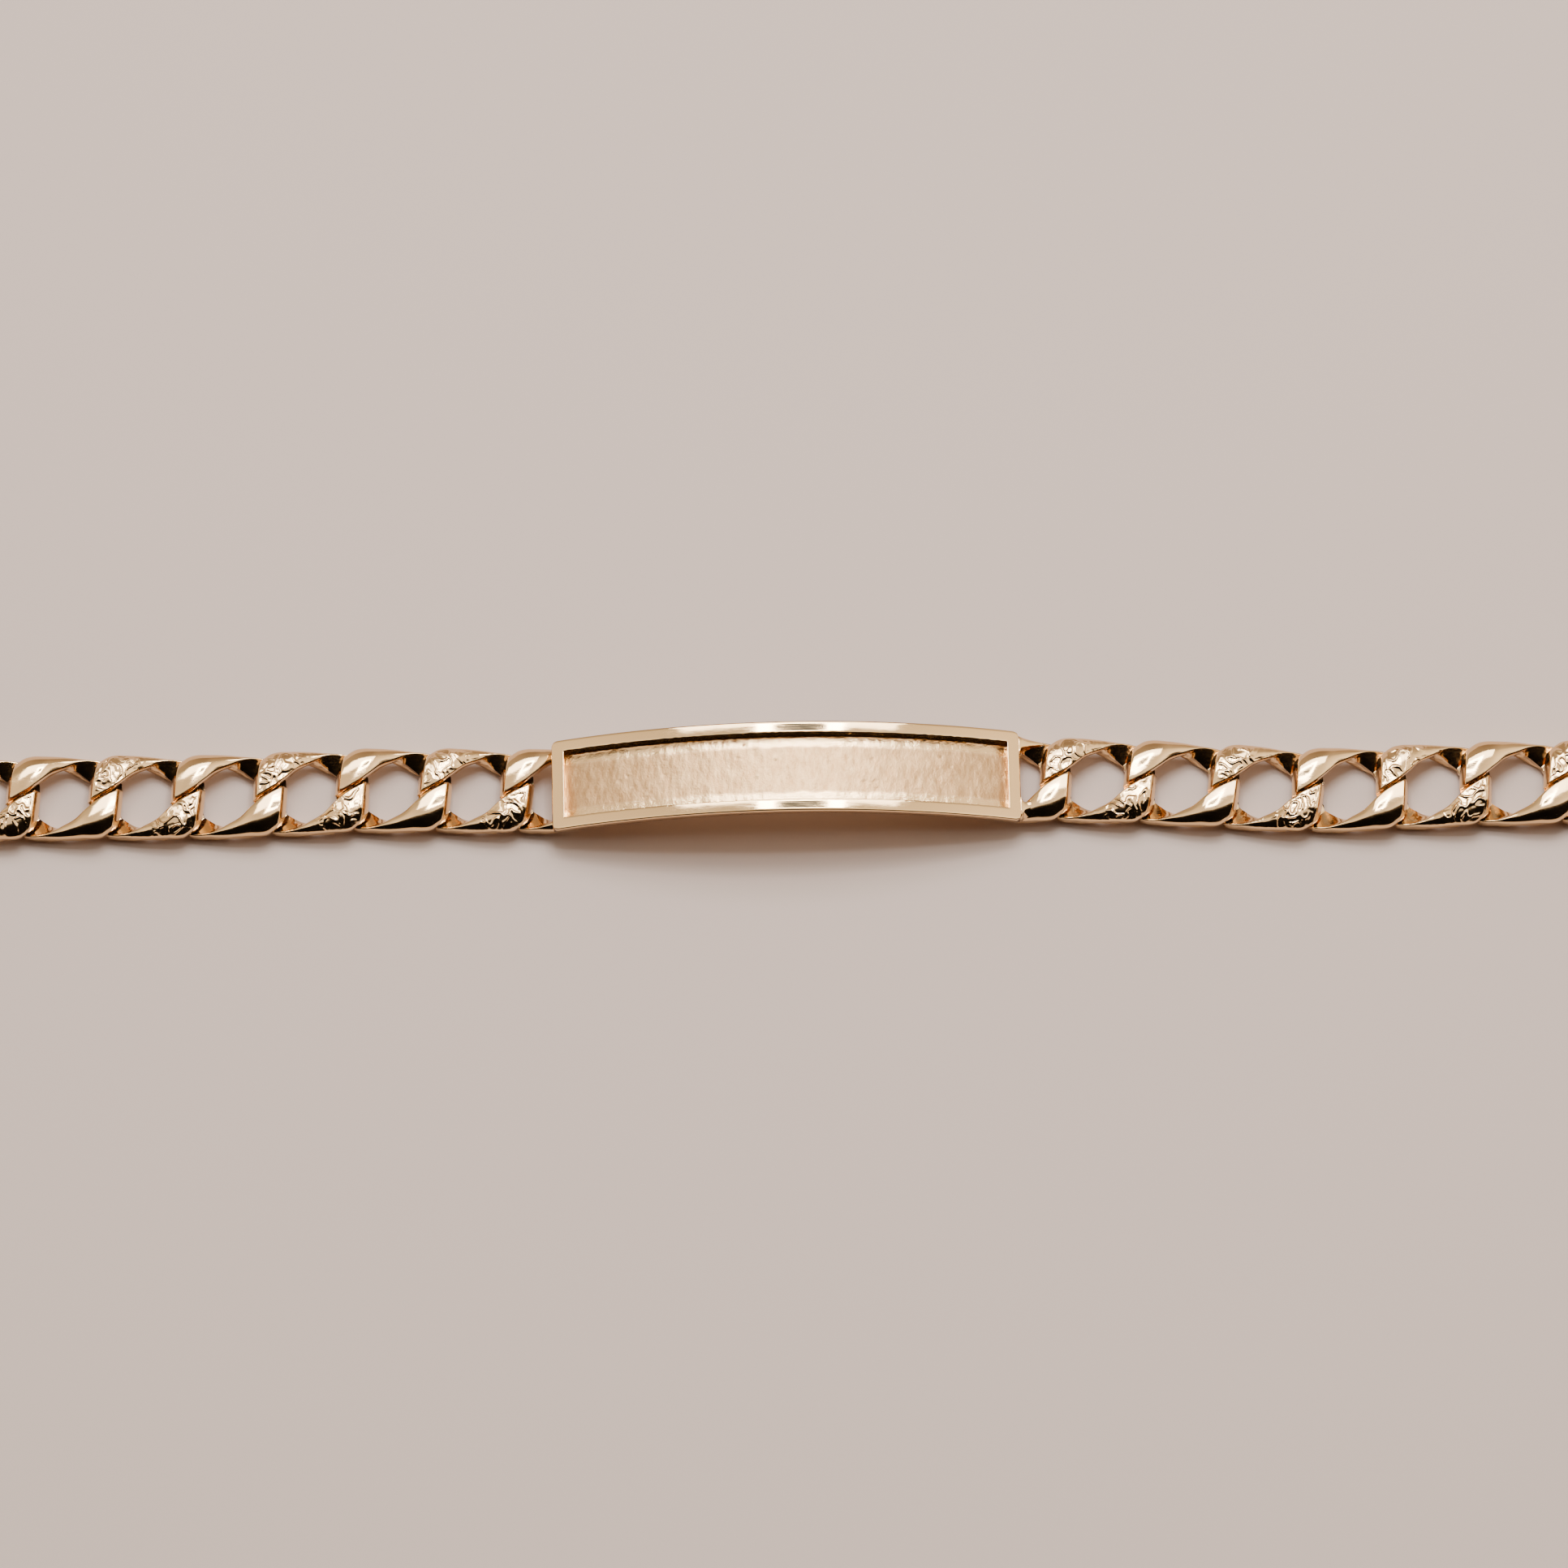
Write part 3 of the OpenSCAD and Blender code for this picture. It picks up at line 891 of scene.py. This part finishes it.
# %% Solder fillets at the plate's right end
BACK_FILLET = [
    [(15.55, 1.20, 0.30), (15.55, 1.25, 0.90), (15.55, 1.40, 1.10), (15.55, 2.20, 1.12),
     (15.55, 2.75, 1.10), (15.55, 2.95, 0.90), (15.55, 2.97, 0.30)],
    [(15.84, 1.50, 0.20), (15.82, 1.50, 1.02), (15.80, 1.58, 1.20), (15.80, 2.25, 1.23),
     (15.80, 2.72, 1.19), (15.80, 2.90, 1.00), (15.80, 2.92, 0.20)],
    [(16.00, 1.96, 0.20), (15.98, 1.96, 0.94), (15.96, 2.04, 1.09), (16.00, 2.40, 1.11),
     (16.05, 2.68, 1.05), (16.06, 2.82, 0.86), (16.06, 2.84, 0.20)],
    [(16.38, 2.18, 0.10), (16.36, 2.18, 0.68), (16.35, 2.26, 0.80), (16.35, 2.50, 0.82),
     (16.36, 2.68, 0.76), (16.37, 2.79, 0.60), (16.37, 2.81, 0.10)],
    [(16.90, 2.34, 0.10), (16.90, 2.36, 0.37), (16.90, 2.42, 0.45), (16.90, 2.54, 0.46),
     (16.90, 2.66, 0.42), (16.90, 2.75, 0.28), (16.90, 2.77, 0.06)],
    [(17.50, 2.48, -0.10), (17.50, 2.50, 0.00), (17.50, 2.54, 0.03), (17.50, 2.60, 0.03),
     (17.50, 2.65, 0.02), (17.50, 2.68, 0.00), (17.50, 2.69, -0.10)],
]
FRONT_FILLET = [
    [(15.55, -1.20, 0.30), (15.55, -1.25, 0.90), (15.55, -1.40, 1.10), (15.55, -2.20, 1.12),
     (15.55, -2.75, 1.10), (15.55, -2.95, 0.90), (15.55, -2.97, 0.30)],
    [(15.84, -1.40, 0.20), (15.82, -1.40, 1.02), (15.80, -1.48, 1.20), (15.80, -2.15, 1.23),
     (15.80, -2.66, 1.19), (15.80, -2.90, 1.00), (15.80, -2.92, 0.20)],
    [(16.02, -1.72, 0.20), (16.00, -1.72, 0.94), (15.98, -1.80, 1.09), (16.02, -2.20, 1.10),
     (16.05, -2.52, 0.98), (16.06, -2.80, 0.62), (16.06, -2.82, 0.20)],
    [(16.40, -1.66, 0.20), (16.38, -1.66, 0.84), (16.36, -1.74, 0.98), (16.38, -2.05, 1.01),
     (16.40, -2.42, 0.90), (16.41, -2.80, 0.50), (16.41, -2.82, 0.10)],
    [(16.95, -1.45, 0.20), (16.95, -1.47, 0.80), (16.95, -1.55, 0.92), (16.95, -1.90, 0.98),
     (16.95, -2.40, 0.85), (16.95, -2.75, 0.45), (16.95, -2.77, 0.10)],
]
FILLETS = [leaf_block(table, [4], [3], deep=False) for table in (BACK_FILLET, FRONT_FILLET)]
print("volume of each fillet:", [round(f.calc_volume(), 2) for f in FILLETS], "cubic millimetres")

# %% [markdown]
# At each end of the plate half a link is soldered on, and the chain hooks into it. It is the same
# link as in the chain, cut off just inside the plate, so that the joint is hidden in the metal.

# %% Half-links
HALF_CUT, SOLDER_DEPTH = 0.4, 0.3


def half_link():
    """The left half of a link, cut off past its middle."""
    bm = link_metal(PLAIN_DETAIL)
    cut = bmesh.ops.bisect_plane(
        bm,
        geom=[*bm.verts, *bm.edges, *bm.faces],
        plane_co=(SOLDER_DEPTH - HALF_CUT, 0, 0),
        plane_no=(1, 0, 0),
        clear_outer=True,
    )["geom_cut"]
    bmesh.ops.holes_fill(bm, edges=[g for g in cut if isinstance(g, bmesh.types.BMEdge)], sides=0)
    for face in bm.faces:
        face.material_index = BUFFED
    return bm


half = half_link()
print("faces of a half-link:", len(half.faces))
half.free()

# %% [markdown]
# Plate, half-links and fillets are one soldered piece, so they become one mesh with three
# finishes. The plate is turned a little against the chain's line, as it happens to lie, and the
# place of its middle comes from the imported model.

# %% The whole plate piece
PLATE_HEADING = math.radians(1.3)
plate_centre = middle_of("id_plate")
plate_place = Matrix.Translation((plate_centre.x, plate_centre.y, HALF_T * MM))
plate_place = plate_place @ Matrix.Rotation(PLATE_HEADING, 4, "Z")
for angle in (0, math.pi):
    shift = Matrix.Rotation(angle, 4, "Z") @ Matrix.Translation((HALF_CUT - PLATE_L / 2, 0, 0))
    append(plate, half_link(), shift)
for fillet in FILLETS:
    append(plate, fillet, Matrix.Identity(4))
plate_piece = finish_mesh(
    plate, "gold_id_plate", plate_place, [border_gold, panel_gold, polished_gold]
)
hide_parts("id_plate")
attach(plate_piece, "root")
print("plate faces:", len(plate_piece.data.polygons))

# %% [markdown]
# The clasp is a plain claw: a closed loop with a neck and a thumb knob. Its outline is simple
# enough to keep as packed, so a copy of that mesh has its doubles merged and its edges rounded.

# %% Clasp
CLASP_EDGE_R, CLASP_EDGE_STEPS = 0.12, 3
CLASP_FLAT, CLASP_SHARP = math.radians(1), math.radians(40)


def dress_clasp():
    bm = bmesh.new()
    bm.from_mesh(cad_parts["clasp"].data)
    bmesh.ops.remove_doubles(bm, verts=bm.verts, dist=MERGE * MM)
    bmesh.ops.dissolve_limit(bm, angle_limit=CLASP_FLAT, verts=bm.verts, edges=bm.edges)
    piece = as_object(bm, "gold_clasp", [polished_gold])
    edges = piece.modifiers.new("rounded edges", "BEVEL")
    edges.width = CLASP_EDGE_R * MM
    edges.segments = CLASP_EDGE_STEPS
    edges.limit_method = "ANGLE"
    edges.angle_limit = CLASP_SHARP
    for polygon in piece.data.polygons:
        polygon.use_smooth = False
    return piece


clasp_piece = dress_clasp()
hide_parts("clasp")
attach(clasp_piece, "root")
print("clasp faces before the bevel:", len(clasp_piece.data.polygons))

# %% [markdown]
# Polished metal shows its surroundings, so the light is part of the finish. A plain pale floor
# carries the bracelet. It is matt card, a little pink, and large enough to fill every view, so the
# undersides of the links mirror it as a soft warm tone.

# %% Floor
FLOOR_HALF = 1.5
floor_mesh = bmesh.new()
bmesh.ops.create_grid(floor_mesh, x_segments=1, y_segments=1, size=FLOOR_HALF)
floor_material, floor_tree = new_tree("matt_pale_card")
card = add(
    floor_tree, "ShaderNodeBsdfPrincipled", {"Base Color": linear("#cdbab1"), "Roughness": 0.9}
)
add(floor_tree, "ShaderNodeOutputMaterial", {"Surface": card.outputs[0]})
floor = as_object(floor_mesh, "floor", [floor_material])
print("the floor is", 2 * FLOOR_HALF, "m wide")

# %% [markdown]
# A sky dome lights the gold and is mirrored in it. Its colour runs from the back's horizon, tan,
# over pale cream just behind the top, to nearly black in front, as under one big soft window. That
# gives the light faces, the tan flanks at the back and the dark flanks at the front. It could be a
# picture wrapped round the scene, but a colour ramp over the angle from the back is enough, and it
# has no seam. The dome also gets stronger to the right, and a little to the left, where the links
# shine most.

# %% Sky dome
SKY_POWER, SKY_POWER_RIGHT, SKY_ADDED_LEFT = 1.5, 2.8, 0.7
SKY_STOPS = [
    (0.0, "#8d7a68"),
    (0.15, "#9b8a78"),
    (0.28, "#9a8f7e"),
    (0.32, "#b0a591"),
    (0.36, "#cdc1ab"),
    (0.46, "#e2d6c3"),
    (0.515, "#f6ecdc"),
    (0.54, "#3a322c"),
    (0.6, "#0c0a09"),
    (1.0, "#0a0908"),
]
world = bpy.data.worlds.new("studio")
world.use_nodes = True
sky = world.node_tree
sky.nodes.clear()
direction = add(sky, "ShaderNodeTexCoord").outputs["Generated"]
axes = add(sky, "ShaderNodeSeparateXYZ", {"Vector": direction})
turn = add(sky, "ShaderNodeMath", {0: axes.outputs["Y"]}, operation="ARCCOSINE")
share = add(sky, "ShaderNodeMath", {0: turn.outputs[0], 1: math.pi}, operation="DIVIDE")
ramp = add(sky, "ShaderNodeValToRGB", {"Fac": share.outputs[0]})
stops = ramp.color_ramp.elements
while len(stops) < len(SKY_STOPS):
    stops.new(0.5)
for stop, (position, colour) in zip(stops, SKY_STOPS):
    stop.position = position
    stop.color = linear(colour)
right = add(
    sky,
    "ShaderNodeMapRange",
    {
        "Value": axes.outputs["X"],
        "From Min": 0.1,
        "From Max": 0.65,
        "To Min": SKY_POWER,
        "To Max": SKY_POWER_RIGHT,
    },
)
left = add(
    sky,
    "ShaderNodeMapRange",
    {
        "Value": axes.outputs["X"],
        "From Min": -0.1,
        "From Max": -0.65,
        "To Min": 0.0,
        "To Max": SKY_ADDED_LEFT,
    },
)
power = add(sky, "ShaderNodeMath", {0: right.outputs[0], 1: left.outputs[0]}, operation="ADD")
glow = add(
    sky, "ShaderNodeBackground", {"Color": ramp.outputs["Color"], "Strength": power.outputs[0]}
)
add(sky, "ShaderNodeOutputWorld", {"Surface": glow.outputs[0]})
bpy.context.scene.world = world
print("stops of the sky's ramp:", len(stops))

# %% [markdown]
# The dome alone would leave the scene flat. One area light stands above and behind, half a metre
# wide, and faces the bracelet. It gives the floor its light and the soft shadows in front of the
# links.

# %% Soft window light from above and behind
WINDOW_W, WINDOW_H, WINDOW_WATTS = 0.5, 0.25, 3.0
WINDOW_BACK, WINDOW_UP = 0.32, 0.55


def soft_light(name, wide, high, watts):
    """A rectangular area light, its size in metres."""
    light = bpy.data.lights.new(name, "AREA")
    light.shape = "RECTANGLE"
    light.size, light.size_y = wide, high
    light.energy = watts
    return show(name, light)


window = soft_light("window", WINDOW_W, WINDOW_H, WINDOW_WATTS)
window.location = (0.0, WINDOW_BACK, WINDOW_UP)
window.rotation_euler = (-math.atan2(WINDOW_BACK, WINDOW_UP), 0, 0)
print("the window stands", round(math.hypot(WINDOW_BACK, WINDOW_UP), 2), "m away")

# %% [markdown]
# Flat gold faces mirror what stands round the camera. Four small panels there make a ring, which
# puts white patches into the borders of the plate and the crowns of the links, where the real ones
# show them. They could be one larger panel, but the real patches have a grey heart, so the ring is
# open.

# %% Ring of small panels
ELEVATION = math.radians(72)
RING_AT = 300 * MM
RING_IN, RING_OUT = 29 * MM, 46 * MM
RING_RIGHT = 8 * MM
RING_WATTS = 110
ring_turn = Matrix.Rotation(ELEVATION - math.pi / 2, 4, "X")
ring_middle = (RING_IN + RING_OUT) / 2
for name, x, y, wide, high in (
    ("left", -1, 0, RING_OUT - RING_IN, 2 * RING_OUT),
    ("right", 1, 0, RING_OUT - RING_IN, 2 * RING_OUT),
    ("near", 0, -1, 2 * RING_IN, RING_OUT - RING_IN),
    ("far", 0, 1, 2 * RING_IN, RING_OUT - RING_IN),
):
    panel = soft_light("panel_" + name, wide, high, RING_WATTS * wide * high)
    shift = Matrix.Translation((x * ring_middle + RING_RIGHT, y * ring_middle, RING_AT))
    panel.matrix_world = ring_turn @ shift
    panel.visible_camera = False
    print("panel", name, "is", round(wide / MM), "by", round(high / MM), "mm")

# %% [markdown]
# The grey heart is a dark card in the middle of the ring. It glows faintly in a cool grey, so that
# the gold round it looks warmer. The camera and the matt floor don't see it, and it throws no
# shadow, so it is there for the reflections alone.

# %% Dark card in the ring
CARD_GLOW = 0.8
flag_mesh = bmesh.new()
bmesh.ops.create_grid(flag_mesh, x_segments=1, y_segments=1, size=RING_IN)
flag_place = ring_turn @ Matrix.Translation((RING_RIGHT, 0, RING_AT + MM))
bmesh.ops.transform(flag_mesh, matrix=flag_place, verts=flag_mesh.verts)
flag_material, flag_tree = new_tree("dark_card")
dark = add(
    flag_tree, "ShaderNodeEmission", {"Color": linear("#798695"), "Strength": CARD_GLOW}
)
add(flag_tree, "ShaderNodeOutputMaterial", {"Surface": dark.outputs[0]})
flag = as_object(flag_mesh, "flag", [flag_material])
flag.visible_camera = flag.visible_shadow = flag.visible_diffuse = False
print("the dark card is", round(2 * RING_IN / MM), "mm wide")

# %% [markdown]
# The camera looks down from the front at 72 degrees, through a long lens, so the bracelet is
# hardly smaller at the back. It is aimed at the plate's middle as the photo frames it, and the
# chain runs out of the picture on both sides.

# %% Camera
DISTANCE = 483 * MM
LENS, SENSOR = 163.6, 36.0
AIM_LEFT, AIM_BACK = 0.14 * MM, 0.57 * MM
aim = Vector((plate_centre.x - AIM_LEFT, plate_centre.y + AIM_BACK, 0))
camera_data = bpy.data.cameras.new("camera")
camera_data.lens = LENS
camera_data.sensor_fit = "HORIZONTAL"
camera_data.sensor_width = SENSOR
camera_data.clip_start = 0.01
camera = show("camera", camera_data)
back = Vector((0, -math.cos(ELEVATION), math.sin(ELEVATION)))
camera.location = aim + DISTANCE * back
camera.rotation_euler = (math.pi / 2 - ELEVATION, 0, 0)
bpy.context.scene.camera = camera
print("the view is", round(DISTANCE * SENSOR / LENS / MM), "mm wide")
